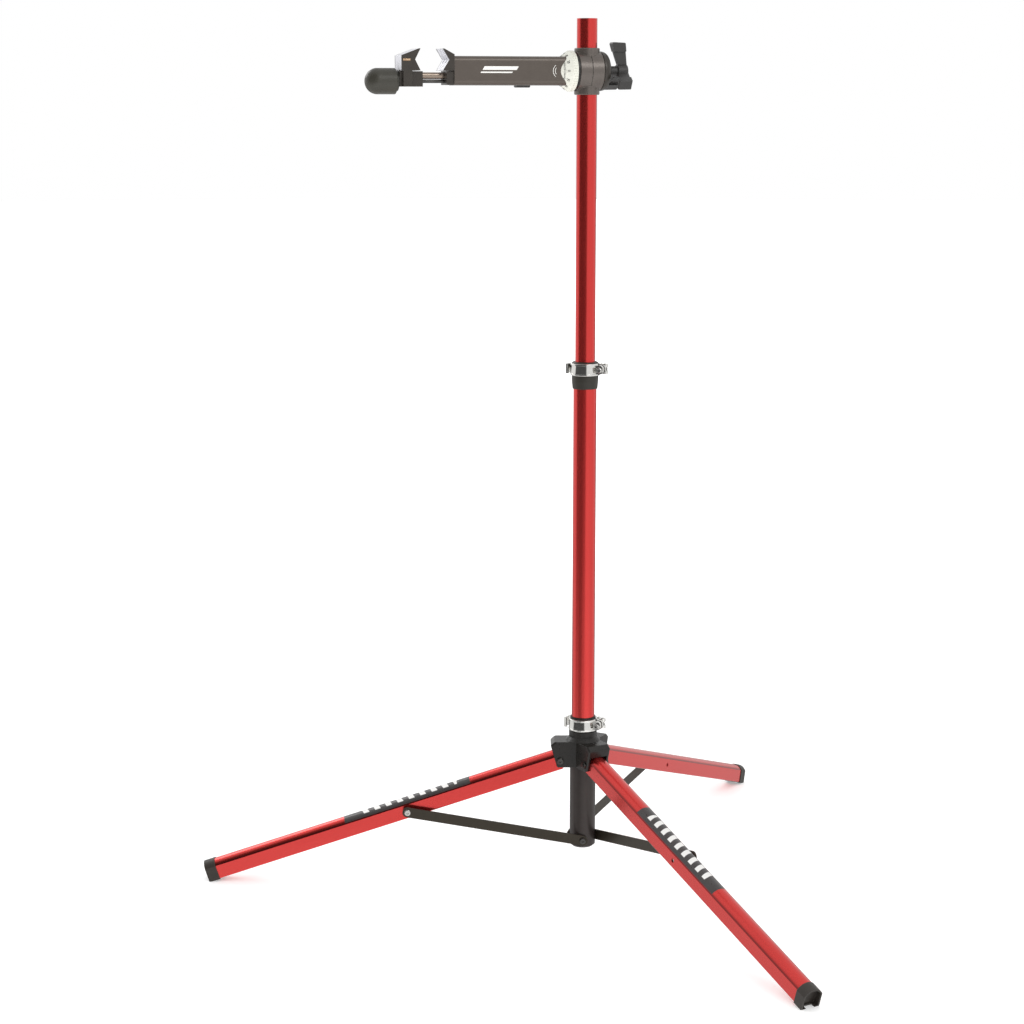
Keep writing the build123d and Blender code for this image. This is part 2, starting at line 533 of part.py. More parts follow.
def make_outer_pad():
    """Light cover over the front, crown and back of the outer jaw."""
    pad = prism(OUTER_OUTLINE, -JAW_HALF_DEPTH, JAW_HALF_DEPTH) - outer_jaw_shape()
    for side in (-1, 1):
        pad -= z_pin(2.7, 344, 358, JAW_UP - 0.5, side * (JAW_HALF_DEPTH - 1.2))
    return on_arm(pad - pad_grooves(OUTER_TIP, OUTER_VERTEX))


def make_jaw_pins():
    """Bronze pins let into the two sides of the outer jaw."""
    pins = [z_pin(2.65, 344.2, 357.8, JAW_UP - 0.5, side * (JAW_HALF_DEPTH - 1.2)) for side in (-1, 1)]
    return on_arm(joined(pins))


def make_ratchet_carriage():
    """Carriage inside the arm that joins the guide rod to the spindle's nut."""
    top = block(-12.5, 6, -14, 14, ROD_START, ROD_START + 25)
    boss = block(-22.9, -12, -5.6, 5.6, ROD_START, ROD_START + 25)
    carriage = top + boss - z_pin(ROD_R, ROD_START - 1, 400, ROD_UP)
    return on_arm(carriage - z_pin(SPINDLE_R + RUN_FIT, 0, 400, SPINDLE_UP))


def make_end_knob():
    """Rubber knob with a round nose, and its neck."""
    body = spun([(0, KNOB_FRONT), (KNOB_NECK_R, KNOB_FRONT), (KNOB_NECK_R, KNOB_BACK),
                 (KNOB_R, KNOB_BACK), (KNOB_R, KNOB_TIP), (0, KNOB_TIP)])
    nose = body.edges().filter_by(GeomType.CIRCLE).sort_by(Axis.Z)[-1]
    body = fillet(nose, min(KNOB_R, KNOB_TIP - KNOB_SHOULDER) - 0.6)
    rear = body.edges().filter_by(GeomType.CIRCLE)
    rear = rear.filter_by_position(Axis.Z, KNOB_BACK - 0.1, KNOB_BACK + 0.1)
    body = fillet(rear.sort_by(SortBy.RADIUS)[-1], 1.5)
    body -= z_pin(SPINDLE_R, KNOB_FRONT - 1, KNOB_FRONT + 22)
    return on_arm(Pos(SPINDLE_UP, 0, 0) * body)


def make_spindle():
    return on_arm(z_pin(SPINDLE_R, SPINDLE_START, KNOB_FRONT + 22, SPINDLE_UP))


def make_button():
    """Release button: pad under the arm, two flanges inside it, room for the spindle."""
    pad = block(BUTTON_BASE, FLANGE_TOP, -BUTTON_HALF, BUTTON_HALF, BUTTON_NEAR, BUTTON_FAR)
    pad = fillet(pad.edges().sort_by(Axis.X)[:4], 2)
    flange = block(FLANGE_LOW, FLANGE_TOP, -12, 12, BUTTON_NEAR - 3, BUTTON_FAR + 3)
    channel = block(CHANNEL_FLOOR, 0, -CHANNEL_HALF, CHANNEL_HALF, BUTTON_NEAR - 10, BUTTON_FAR + 10)
    return on_arm(pad + flange - channel)


def make_button_guides():
    """Two shelves inside the arm that the button's springs press on."""
    wall = ARM_DEPTH / 2 - ARM_WALL
    guides = [block(GUIDE_LOW, GUIDE_TOP, *sorted((side * 6.6, side * wall)),
                    BUTTON_NEAR - 3, BUTTON_FAR + 3)
              for side in (-1, 1)]
    return on_arm(joined(guides))


def make_button_springs():
    height = GUIDE_LOW - FLANGE_TOP - 2 * SPRING_WIRE
    springs = []
    for side in (-1, 1):
        coil = Helix(pitch=height / 5, height=height, radius=SPRING_R)
        start = Plane(origin=coil @ 0, z_dir=coil % 0)
        wire = sweep(start * Circle(SPRING_WIRE), path=coil)
        middle = (BUTTON_NEAR + BUTTON_FAR) / 2
        springs.append(Pos(-middle, side * SPRING_SIDE, ARM_Z + FLANGE_TOP + SPRING_WIRE) * wire)
    return joined(springs)


def make_wing_lobe():
    """One lobe of the wing knob, along X: a thin web with a thicker end that leans to the head."""
    front = ThreePointArc((WING_REACH, WING_INNER), (WING_REACH * 0.62, WING_INNER - 6), (8, WING_MIDDLE))
    rest = Polyline((8, WING_MIDDLE), (-2, WING_MIDDLE), (-2, WING_OUTER), (8, WING_OUTER),
                    (WING_REACH - 1, WING_OUTER + 4), (WING_REACH, WING_INNER))
    outline = make_face(front + rest)
    web = y_slab(outline, -WING_WEB / 2, WING_WEB / 2)
    end = y_slab(outline, -WING_END_WIDTH / 2, WING_END_WIDTH / 2)
    end = end & block(WING_END_START, WING_REACH + 5, -20, 20, WING_OUTER - 5, WING_INNER + 5)
    end = fillet(end.edges().filter_by(Axis.Y).sort_by(Axis.X)[-2:], 3.0)
    return web & block(-2, WING_END_START + 1, -20, 20, WING_OUTER - 5, WING_INNER + 5), end


def make_wing_knob():
    """Three-lobed knob on a round stem."""
    knob = z_pin(WING_STEM_R, WING_MIDDLE - 2, WING_STEM)
    knob += chamfer(z_pin(WING_STEM_R + 3.5, WING_OUTER - 0.6, WING_MIDDLE + 3).edges(), 1.2)
    for turn in (0, 120, 240):
        for piece in make_wing_lobe():
            knob += Rot(0, 0, turn) * piece
    return on_arm(knob - z_pin(SHAFT_R + RUN_FIT, WING_MIDDLE - 6.5, 0))


def make_wing_washer():
    return on_arm(ring(12.5, SHAFT_R + 0.3, WING_STEM + 0.3, DOME_END))


# All sub-parts -----------------------------------------------------------------------------

def all_parts():
    """Every sub-part in its place, by name."""
    three = list(LEG_AZIMUTHS.values())
    parts = {
        "lower_mast_tube": make_lower_tube(),
        "base_sleeve": make_sleeve(),
        "base_end_plug": make_base_plug(),
        "brace_base_bolts": joined([on_brace(azimuth, make_base_bolt()) for azimuth in three]),
        "mid_bushing": make_mid_bushing(),
        "glide_bushing": make_glide_bushing(),
        "upper_mast_tube": make_upper_tube(),
        "mast_top_plug": make_top_plug(),
        "hub_casting": make_hub(),
        "hub_liner": make_hub_liner(),
        "leg_pivot_bolts": joined([Rot(0, 0, azimuth) * make_leg_pivot_bolt() for azimuth in three]),
        "head_casting_front": make_casting_half(-1),
        "head_casting_back": make_casting_half(1),
        "head_screws": make_head_screws(),
        "head_bushings": make_head_bushings(),
        "friction_ring": make_friction_ring(),
        "dome_cap": make_dome_cap(),
        "clamp_arm": make_arm(),
        "arm_root_block": make_arm_root(),
        "clamp_shaft": make_shaft(),
        "angle_dial": make_dial(),
        "arm_nose_cap": make_nose(),
        "inner_jaw_holder": on_arm(inner_holder_shape()),
        "inner_jaw_pad": make_inner_pad(),
        "button_guides": make_button_guides(),
        "release_button": make_button(),
        "button_springs": make_button_springs(),
        "guide_rod": on_arm(z_pin(ROD_R, ROD_START, ROD_END, ROD_UP)),
        "ratchet_carriage": make_ratchet_carriage(),
        "outer_jaw": on_arm(outer_jaw_shape()),
        "outer_jaw_pad": make_outer_pad(),
        "jaw_pins": make_jaw_pins(),
        "end_knob": make_end_knob(),
        "knob_spindle": make_spindle(),
        "wing_knob": make_wing_knob(),
        "wing_washer": make_wing_washer(),
    }
    for place, bottom in (("mid", MID_RING_BOTTOM), ("hub", HUB_RING_BOTTOM)):
        parts[place + "_collar"] = on_collar(bottom, make_ring())
        parts[place + "_skewer"] = on_collar(bottom, make_skewer())
        parts[place + "_cam_washer"] = on_collar(bottom, make_cam_washer())
        parts[place + "_lever"] = on_collar(bottom, make_lever())
    floor = block(-900, 900, -900, 900, -50, 0)
    for name, azimuth in LEG_AZIMUTHS.items():
        parts[name + "_leg"] = on_leg(azimuth, make_leg())
        parts[name + "_foot_cap"] = on_leg(azimuth, make_foot_cap()) - floor
        parts[name + "_brace_spacer"] = on_leg(azimuth, make_brace_spacer())
        parts[name + "_brace"] = on_brace(azimuth, make_brace())
        parts[name + "_brace_bolt"] = on_brace(azimuth, make_brace_bolt())
    return parts


os.makedirs("parts", exist_ok=True)
for node, shape in all_parts().items():
    export_step(shape, "parts/" + node + ".step")
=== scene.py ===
import json
from math import cos, pi, radians, sin

import bmesh
import bpy
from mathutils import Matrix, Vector


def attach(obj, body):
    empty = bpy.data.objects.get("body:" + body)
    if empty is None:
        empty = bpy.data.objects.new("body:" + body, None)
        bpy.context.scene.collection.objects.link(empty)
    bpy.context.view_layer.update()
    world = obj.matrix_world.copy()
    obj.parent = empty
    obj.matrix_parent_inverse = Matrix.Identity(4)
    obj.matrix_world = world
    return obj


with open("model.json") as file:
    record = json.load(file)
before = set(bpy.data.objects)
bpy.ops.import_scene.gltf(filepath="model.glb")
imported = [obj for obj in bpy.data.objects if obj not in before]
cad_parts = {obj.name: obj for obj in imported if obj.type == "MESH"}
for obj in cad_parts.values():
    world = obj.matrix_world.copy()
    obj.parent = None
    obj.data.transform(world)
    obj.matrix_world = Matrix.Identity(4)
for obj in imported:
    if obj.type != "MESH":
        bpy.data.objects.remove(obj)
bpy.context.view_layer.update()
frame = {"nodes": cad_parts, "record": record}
scene = bpy.context.scene

# Measures shared with the CAD model, in metres
MM = 0.001
ARM_AXIS_Z = 1.569
LEG_AZIMUTHS = {"left": 162.7, "front": 282.7, "rear": 42.7}
LEG_TILT = radians(18.4)
LEG_PIVOT_RADIUS, LEG_PIVOT_Z = 0.045, 0.24895
CROWN_RADIUS, CROWN_CENTRE_UP = 0.02023, -0.00123
UP = Vector((0, 0, 1))


# ---------------------------------------------------------------- node helpers
def put(tree, value, socket):
    """Sends a socket's output or a plain number to an input."""
    if isinstance(value, bpy.types.NodeSocket):
        tree.links.new(value, socket)
    else:
        socket.default_value = value


def maths(tree, kind, first, second=0.0, third=0.0):
    """One sum on numbers."""
    node = tree.nodes.new("ShaderNodeMath")
    node.operation = kind
    for socket, value in zip(node.inputs, (first, second, third)):
        put(tree, value, socket)
    return node.outputs[0]


def vector_maths(tree, kind, first, second=None, scale=None):
    """One sum on vectors."""
    node = tree.nodes.new("ShaderNodeVectorMath")
    node.operation = kind
    put(tree, first, node.inputs[0])
    if second is not None:
        put(tree, second, node.inputs[1])
    if scale is not None:
        put(tree, scale, node.inputs["Scale"])
    return node.outputs["Value" if kind in ("DOT_PRODUCT", "LENGTH") else "Vector"]


def product(tree, first, *others):
    """Several numbers multiplied together, from left to right."""
    for other in others:
        first = maths(tree, "MULTIPLY", first, other)
    return first


def dimmed(tree, level, mask, share):
    """The level with that share taken off where the mask is 1."""
    return product(tree, level, maths(tree, "MULTIPLY_ADD", mask, -share, 1.0))


def step_between(tree, value, low, high, from_value=0.0, to_value=1.0):
    """Smooth step of a value from low to high."""
    node = tree.nodes.new("ShaderNodeMapRange")
    node.interpolation_type = "SMOOTHSTEP"
    for name, number in (("Value", value), ("From Min", low), ("From Max", high),
                         ("To Min", from_value), ("To Max", to_value)):
        put(tree, number, node.inputs[name])
    return node.outputs["Result"]


def blend_colours(tree, share, first, second):
    """Colour between first and second."""
    node = tree.nodes.new("ShaderNodeMix")
    node.data_type = "RGBA"
    put(tree, share, node.inputs[0])
    put(tree, first, node.inputs[6])
    put(tree, second, node.inputs[7])
    return node.outputs[2]


def noise(tree, point, scale, detail=3.0, roughness=0.55):
    """Cloudy noise between 0 and 1."""
    node = tree.nodes.new("ShaderNodeTexNoise")
    put(tree, point, node.inputs["Vector"])
    put(tree, scale, node.inputs["Scale"])
    put(tree, detail, node.inputs["Detail"])
    put(tree, roughness, node.inputs["Roughness"])
    return node.outputs["Fac"]


def object_point(tree):
    """The surface point in the object's own frame, in metres."""
    return tree.nodes.new("ShaderNodeTexCoord").outputs["Object"]


def squeezed(tree, point, direction, share):
    """The point with its distance along a direction shortened, so that a pattern runs long that way."""
    along = vector_maths(tree, "DOT_PRODUCT", point, direction)
    pull = vector_maths(tree, "SCALE", direction, scale=maths(tree, "MULTIPLY", along, share - 1.0))
    return vector_maths(tree, "ADD", point, pull)


def rgba(colour):
    """A colour with full opacity."""
    return (colour[0], colour[1], colour[2], 1.0)


def start_material(name):
    """A node material with its shader and tree."""
    material = bpy.data.materials.new(name)
    material.use_nodes = True
    tree = material.node_tree
    return material, tree, tree.nodes["Principled BSDF"]


def worn_edges(tree, radius, grain_point, grain_scale, low, high):
    """Rounded edge normal, and a mask that is 1 on rubbed edges."""
    rounded = tree.nodes.new("ShaderNodeBevel")
    rounded.samples = 4
    rounded.inputs["Radius"].default_value = radius
    geometry = tree.nodes.new("ShaderNodeNewGeometry")
    agree = vector_maths(tree, "DOT_PRODUCT", rounded.outputs[0], geometry.outputs["Normal"])
    turned = maths(tree, "SUBTRACT", 1.0, agree)
    patchy = maths(tree, "MULTIPLY", turned, noise(tree, grain_point, grain_scale, 4.0, 0.65))
    return rounded.outputs[0], step_between(tree, patchy, low, high)


def set_bump(tree, shader, height, distance, normal=None):
    """Surface relief of that depth in metres."""
    node = tree.nodes.new("ShaderNodeBump")
    node.inputs["Strength"].default_value = 1.0
    node.inputs["Distance"].default_value = distance
    put(tree, height, node.inputs["Height"])
    if normal is not None:
        put(tree, normal, node.inputs["Normal"])
    put(tree, node.outputs[0], shader.inputs["Normal"])


# ---------------------------------------------------------------- materials
def anodised(name, direction, painted_ridge_shade=False):
    """Satin red anodised aluminium, drawn along a direction, with an optional painted shade band where
    the surface faces partly upward.
    """
    material, tree, shader = start_material(name)
    point = object_point(tree)
    drawn = squeezed(tree, point, direction, 0.012)
    fine = noise(tree, drawn, 1500.0, 3.0, 0.6)
    cloud = noise(tree, squeezed(tree, point, direction, 0.25), 26.0, 3.0, 0.5)
    scuffed = noise(tree, squeezed(tree, point, direction, 0.3), 210.0, 5.0, 0.7)
    scuff = step_between(tree, scuffed, 0.66, 0.78)
    red = blend_colours(tree, cloud, rgba((0.62, 0.034, 0.030)), rgba((0.70, 0.050, 0.044)))
    red = blend_colours(tree, maths(tree, "MULTIPLY", scuff, 0.10), red, rgba((0.80, 0.30, 0.28)))
    # Painted shade: a dark red band where the world normal tilts partly upward. It stands in for a dark
    # reflection along the leg's ridge.
    if painted_ridge_shade:
        geometry = tree.nodes.new("ShaderNodeNewGeometry")
        upward = tree.nodes.new("ShaderNodeSeparateXYZ")
        put(tree, geometry.outputs["Normal"], upward.inputs[0])
        near = step_between(tree, upward.outputs["Z"], 0.16, 0.34)
        far = step_between(tree, upward.outputs["Z"], 0.50, 0.68, 1.0, 0.0)
        ridge_shade_share = product(tree, near, far, 0.72)
        red = blend_colours(tree, ridge_shade_share, red, rgba((0.10, 0.006, 0.006)))
    put(tree, red, shader.inputs["Base Color"])
    shader.inputs["Metallic"].default_value = 0.92
    rough = maths(tree, "MULTIPLY_ADD", fine, 0.10, 0.20)
    put(tree, maths(tree, "MULTIPLY_ADD", scuff, 0.12, rough), shader.inputs["Roughness"])
    shader.inputs["Coat Weight"].default_value = 0.35
    shader.inputs["Coat Roughness"].default_value = 0.16
    shader.inputs["Coat IOR"].default_value = 1.6
    set_bump(tree, shader, fine, 0.00003)
    return material


def moulded(name, dark, light, rough, grain_scale, grain_depth, edge=0.0006, rub=0.5, metallic=0.0,
            coat=0.0, rubbed=(0.16, 0.16, 0.16), shine=0.5):
    """Moulded, cast or coated surface with a fine grain, cloudy colour and rubbed edges."""
    material, tree, shader = start_material(name)
    point = object_point(tree)
    cloud = noise(tree, point, 55.0, 4.0, 0.6)
    grain = noise(tree, point, grain_scale, 2.0, 0.5)
    smear = noise(tree, point, 170.0, 5.0, 0.65)
    rounded, rubs = worn_edges(tree, edge, point, 420.0, 0.03, 0.20)
    colour = blend_colours(tree, cloud, rgba(dark), rgba(light))
    colour = blend_colours(tree, maths(tree, "MULTIPLY", rubs, rub), colour, rgba(rubbed))
    put(tree, colour, shader.inputs["Base Color"])
    shader.inputs["Metallic"].default_value = metallic
    shader.inputs["Specular IOR Level"].default_value = shine
    shader.inputs["Coat Weight"].default_value = coat
    shader.inputs["Coat Roughness"].default_value = 0.22
    varied = maths(tree, "MULTIPLY_ADD", smear, 0.16, rough - 0.08)
    put(tree, maths(tree, "MULTIPLY_ADD", grain, 0.06, varied), shader.inputs["Roughness"])
    set_bump(tree, shader, grain, grain_depth, normal=rounded)
    return material


def bare_metal(name, dark, light, rough, direction, edge=0.0005):
    """Bare or plated metal, with fine lines round or along it."""
    material, tree, shader = start_material(name)
    point = object_point(tree)
    drawn = squeezed(tree, point, direction, 0.03)
    fine = noise(tree, drawn, 2200.0, 3.0, 0.6)
    cloud = noise(tree, point, 70.0, 3.0, 0.5)
    spots = step_between(tree, noise(tree, point, 900.0, 4.0, 0.7), 0.64, 0.76)
    rounded, rubs = worn_edges(tree, edge, point, 500.0, 0.02, 0.2)
    colour = blend_colours(tree, cloud, rgba(dark), rgba(light))
    colour = blend_colours(tree, maths(tree, "MULTIPLY", spots, 0.22), colour, rgba(dark))
    colour = blend_colours(tree, maths(tree, "MULTIPLY", rubs, 0.5), colour, rgba(light))
    put(tree, colour, shader.inputs["Base Color"])
    shader.inputs["Metallic"].default_value = 1.0
    put(tree, maths(tree, "MULTIPLY_ADD", fine, 0.12, rough), shader.inputs["Roughness"])
    set_bump(tree, shader, fine, 0.00002, normal=rounded)
    return material


def leg_axes(side):
    """A leg's pivot, and its directions outward, sideways and up off its crown."""
    azimuth = radians(LEG_AZIMUTHS[side])
    flat = Vector((cos(azimuth), sin(azimuth), 0))
    outward = flat * cos(LEG_TILT) - UP * sin(LEG_TILT)
    crown = flat * sin(LEG_TILT) + UP * cos(LEG_TILT)
    sideways = Vector((-sin(azimuth), cos(azimuth), 0))
    pivot = flat * LEG_PIVOT_RADIUS + UP * LEG_PIVOT_Z
    return pivot, outward, sideways, crown


mast_red = anodised("red anodised mast", (0, 0, 1))
# Each leg carries the painted shade band along its ridge.
leg_reds = {side: anodised("red anodised " + side + " leg", tuple(leg_axes(side)[1]), True)
            for side in LEG_AZIMUTHS}
hub_black = moulded("black nylon", (0.012, 0.011, 0.010), (0.019, 0.017, 0.015),
                    0.26, 900.0, 0.00001, shine=0.32)
knob_black = moulded("black moulded knob", (0.020, 0.019, 0.018), (0.034, 0.032, 0.030),
                     0.40, 1500.0, 0.00005)
bushing_black = moulded("dull black bushing", (0.020, 0.018, 0.014), (0.030, 0.027, 0.021),
                        0.36, 1800.0, 0.00005, shine=0.35)
coated_black = moulded("black powder coat", (0.032, 0.026, 0.018), (0.046, 0.038, 0.027),
                       0.33, 700.0, 0.00008, metallic=0.4, shine=0.4)
sleeve_black = moulded("brown black sleeve", (0.034, 0.027, 0.025), (0.046, 0.038, 0.035),
                       0.28, 700.0, 0.00006, metallic=0.45)
rubber = moulded("black rubber", (0.026, 0.021, 0.017), (0.040, 0.033, 0.027),
                 0.44, 1300.0, 0.00008, edge=0.0012, rub=0.35, shine=0.4)
knob_rubber = moulded("olive black rubber", (0.028, 0.026, 0.019), (0.042, 0.039, 0.029),
                      0.38, 1300.0, 0.00006, edge=0.0015, rub=0.3)
gunmetal = moulded("gunmetal paint", (0.086, 0.070, 0.058), (0.104, 0.086, 0.073),
                   0.30, 2400.0, 0.00002, edge=0.0008, metallic=0.55, coat=0.25,
                   rubbed=(0.34, 0.32, 0.30))
cast_gunmetal = moulded("gunmetal casting", (0.106, 0.090, 0.080), (0.140, 0.121, 0.108),
                        0.30, 1100.0, 0.00005, edge=0.0010, metallic=0.60, coat=0.2,
                        rubbed=(0.34, 0.32, 0.30))
dark_cast = moulded("dark casting", (0.034, 0.029, 0.024), (0.050, 0.043, 0.037),
                    0.30, 1100.0, 0.00006, edge=0.0010, metallic=0.4, rubbed=(0.25, 0.23, 0.21))
dial_white = moulded("off white plastic", (0.60, 0.60, 0.53), (0.72, 0.72, 0.65),
                     0.34, 1600.0, 0.00003, edge=0.0005, rub=0.3, rubbed=(0.55, 0.54, 0.48))
pad_grey = moulded("silver grey pad", (0.56, 0.56, 0.60), (0.70, 0.70, 0.74),
                   0.38, 1500.0, 0.00005, edge=0.0008, rub=0.12, rubbed=(0.46, 0.46, 0.50))
polished = bare_metal("polished silver", (0.66, 0.65, 0.62), (0.86, 0.85, 0.82), 0.07, (0, 0, 1))
steel = bare_metal("plated steel", (0.42, 0.41, 0.39), (0.66, 0.65, 0.63), 0.16, (1, 0, 0))
bronze = bare_metal("dark bronze", (0.34, 0.22, 0.13), (0.55, 0.40, 0.27), 0.20, (0, 1, 0))
rod_steel = bare_metal("browned steel rod", (0.20, 0.155, 0.12), (0.36, 0.30, 0.25), 0.14, (1, 0, 0))
screw_black = bare_metal("blackened steel", (0.05, 0.048, 0.045), (0.12, 0.115, 0.11), 0.24, (0, 0, 1))

FINISHES = {
    "lower_mast_tube": mast_red, "upper_mast_tube": mast_red,
    "left_leg": leg_reds["left"], "front_leg": leg_reds["front"], "rear_leg": leg_reds["rear"],
    "hub_casting": hub_black, "hub_liner": hub_black, "glide_bushing": bushing_black,
    "mid_bushing": bushing_black, "mast_top_plug": bushing_black, "base_end_plug": bushing_black,
    "base_sleeve": sleeve_black,
    "left_brace": coated_black, "front_brace": coated_black, "rear_brace": coated_black,
    "left_foot_cap": rubber, "front_foot_cap": rubber, "rear_foot_cap": rubber,
    "end_knob": knob_rubber, "wing_knob": knob_black, "release_button": knob_black,
    "clamp_arm": gunmetal, "arm_root_block": dark_cast, "arm_nose_cap": dark_cast,
    "head_casting_front": cast_gunmetal, "head_casting_back": cast_gunmetal, "dome_cap": dark_cast,
    "inner_jaw_holder": dark_cast, "outer_jaw": dark_cast,
    "inner_jaw_pad": pad_grey, "outer_jaw_pad": pad_grey,
    "angle_dial": dial_white, "friction_ring": hub_black,
    "mid_collar": polished, "hub_collar": polished, "mid_lever": polished, "hub_lever": polished,
    "jaw_pins": bronze, "guide_rod": rod_steel, "knob_spindle": screw_black,
    "left_brace_bolt": steel, "front_brace_bolt": steel, "rear_brace_bolt": steel,
    "left_brace_spacer": steel, "front_brace_spacer": steel, "rear_brace_spacer": steel,
    "leg_pivot_bolts": screw_black,
}
by_slot = {
    "red_anodised": mast_red, "black_nylon": hub_black, "black_steel": screw_black, "silver": polished,
    "gunmetal": gunmetal, "off_white": dial_white, "pad_grey": pad_grey, "black_rubber": rubber,
    "bright_steel": steel, "bronze_metal": bronze,
}
slot_of_node = {part["node"]: part["material_slot"] for part in frame["record"]["subparts"]}

for node_name, node in frame["nodes"].items():
    finish = FINISHES.get(node_name) or by_slot.get(slot_of_node.get(node_name), steel)
    if not node.material_slots:
        node.data.materials.append(finish)
    for place in node.material_slots:
        place.material = finish


# ---------------------------------------------------------------- added pieces
def finish_piece(name, mesh_data, material, body):
    """Turns mesh data into a named piece that rides on a body."""
    bmesh.ops.recalc_face_normals(mesh_data, faces=mesh_data.faces)
    mesh = bpy.data.meshes.new(name)
    mesh_data.to_mesh(mesh)
    mesh_data.free()
    for face in mesh.polygons:
        face.use_smooth = True
    mesh.set_sharp_from_angle(angle=radians(35))
    mesh.materials.append(material)
    piece = bpy.data.objects.new(name, mesh)
    scene.collection.objects.link(piece)
    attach(piece, body)
    return piece


def sheet_piece(name, across, along, place, thickness, material, body):
    """A thin sheet whose grid is laid by place(u, v), with u and v from 0 to 1."""
    data = bmesh.new()
    data.loops.layers.uv.new("UVMap")
    bmesh.ops.create_grid(data, x_segments=across, y_segments=along, size=0.5, calc_uvs=True)
    for vertex in data.verts:
        vertex.co = place(vertex.co.x + 0.5, vertex.co.y + 0.5)
    bmesh.ops.recalc_face_normals(data, faces=data.faces)
    bmesh.ops.solidify(data, geom=data.faces[:], thickness=thickness)
    return finish_piece(name, data, material, body)


def stripe_label(name, length, pitch, lean):
    """Black foil with slanted pale bars between plain borders."""
    material, tree, shader = start_material(name)
    uv = tree.nodes.new("ShaderNodeUVMap")
    uv.uv_map = "UVMap"
    parts = tree.nodes.new("ShaderNodeSeparateXYZ")
    put(tree, uv.outputs[0], parts.inputs[0])
    along = maths(tree, "MULTIPLY", parts.outputs["Y"], length)
    leaning = maths(tree, "MULTIPLY_ADD", parts.outputs["X"], lean, along)
    phase = maths(tree, "FRACT", maths(tree, "DIVIDE", leaning, pitch))
    bar = product(tree, step_between(tree, phase, 0.22, 0.25),
                  step_between(tree, phase, 0.70, 0.73, 1.0, 0.0))
    across = product(tree, step_between(tree, parts.outputs["X"], 0.20, 0.22),
                     step_between(tree, parts.outputs["X"], 0.78, 0.80, 1.0, 0.0))
    ends = product(tree, step_between(tree, parts.outputs["Y"], 0.10, 0.101),
                   step_between(tree, parts.outputs["Y"], 0.86, 0.861, 1.0, 0.0))
    pattern = product(tree, bar, across, ends)
    point = object_point(tree)
    wear = step_between(tree, noise(tree, point, 600.0, 5.0, 0.7), 0.62, 0.72)
    shown = dimmed(tree, pattern, wear, 0.5)
    ground = blend_colours(tree, noise(tree, point, 90.0),
                           rgba((0.030, 0.026, 0.026)), rgba((0.050, 0.042, 0.042)))
    put(tree, blend_colours(tree, shown, ground, rgba((0.78, 0.77, 0.75))), shader.inputs["Base Color"])
    smear = noise(tree, point, 300.0)
    put(tree, maths(tree, "MULTIPLY_ADD", smear, 0.15, 0.22), shader.inputs["Roughness"])
    set_bump(tree, shader, noise(tree, point, 1200.0), 0.00002)
    return material


LABEL_START, LABEL_LENGTH, LABEL_HALF_TURN = 0.181, 0.260, radians(55)
STRIPE_PITCH, STRIPE_LEAN = 0.0235, 0.012
label_foil = stripe_label("striped leg label", LABEL_LENGTH, STRIPE_PITCH, STRIPE_LEAN)


def leg_label(side):
    """Foil label on a leg's crown."""
    pivot, outward, sideways, crown = leg_axes(side)
    radius = CROWN_RADIUS + 0.05 * MM

    def place(u, v):
        turn = (2 * u - 1) * LABEL_HALF_TURN
        return (pivot + outward * (LABEL_START + v * LABEL_LENGTH)
                + sideways * (radius * sin(turn)) + crown * (CROWN_CENTRE_UP + radius * cos(turn)))

    return sheet_piece(side + "_leg_label", 24, 4, place, -0.18 * MM, label_foil,
                       side + "_leg_body")


leg_label("left")
leg_label("front")


def printed(name, dark, light, wear_scale):
    """Printed ink with patchy wear."""
    material, tree, shader = start_material(name)
    point = object_point(tree)
    cloud = noise(tree, point, wear_scale, 4.0, 0.65)
    put(tree, blend_colours(tree, cloud, rgba(dark), rgba(light)), shader.inputs["Base Color"])
    put(tree, maths(tree, "MULTIPLY_ADD", cloud, 0.2, 0.3), shader.inputs["Roughness"])
    set_bump(tree, shader, noise(tree, point, 1500.0), 0.00001)
    return material


pale_ink = printed("pale print", (0.62, 0.61, 0.58), (0.86, 0.85, 0.82), 700.0)
dark_ink = printed("dark print", (0.020, 0.020, 0.022), (0.060, 0.060, 0.062), 900.0)

# Plain stripes on the arm's near side
ARM_FACE_Y, INK = -0.022, 0.05 * MM
ARC_CENTRE, ARC_WIDTH = 0.0600, 0.0009


def arm_stripe(name, start, end, low, high, lean):
    """A slanted stripe printed on the near side of the clamp arm."""
    def place(u, v):
        up = low + v * (high - low)
        along = start + u * (end - start) + lean * (up - low)
        return Vector((-along, ARM_FACE_Y - INK, ARM_AXIS_Z + up))

    return sheet_piece(name, 6, 2, place, -0.12 * MM, pale_ink, "clamp")


arm_stripe("arm_stripe_wide", 0.143, 0.208, 0.0015, 0.0080, -0.6)
arm_stripe("arm_stripe_thin", 0.152, 0.212, -0.0040, -0.0015, -0.6)


def arm_arc(name, radius, width, from_turn, to_turn):
    """Part of a thin circle printed beside the dial."""
    def place(u, v):
        turn, reach = from_turn + u * (to_turn - from_turn), radius + v * width
        return Vector((-(ARC_CENTRE + reach * cos(turn)), ARM_FACE_Y - INK,
                       ARM_AXIS_Z + reach * sin(turn)))

    return sheet_piece(name, 16, 1, place, -0.12 * MM, pale_ink, "clamp")


for index, (radius, half_turn) in enumerate(((0.0125, 52), (0.0085, 40))):
    arm_arc("arm_arc_" + str(index), radius, ARC_WIDTH, radians(-half_turn), radians(half_turn))

# Scale round the dial's cone
DIAL_RIM, DIAL_END, DIAL_R, DIAL_TIP_R = 0.038, 0.059, 0.0373, 0.0214
SCALE_LINE, SCALE_LINE_END = 0.0516, 0.0521
TICK_COUNT, TICKS_A_NUMBER, TICK_HALF_TURN = 72, 6, 0.0070
LONG_TICK, SHORT_TICK, TICK_END = 0.0484, 0.0500, 0.0536
NUMBER_COUNT, NUMBER_HEIGHT, NUMBER_BASE, NUMBER_RADIUS = 12, 0.0058, 0.0472, 0.0325


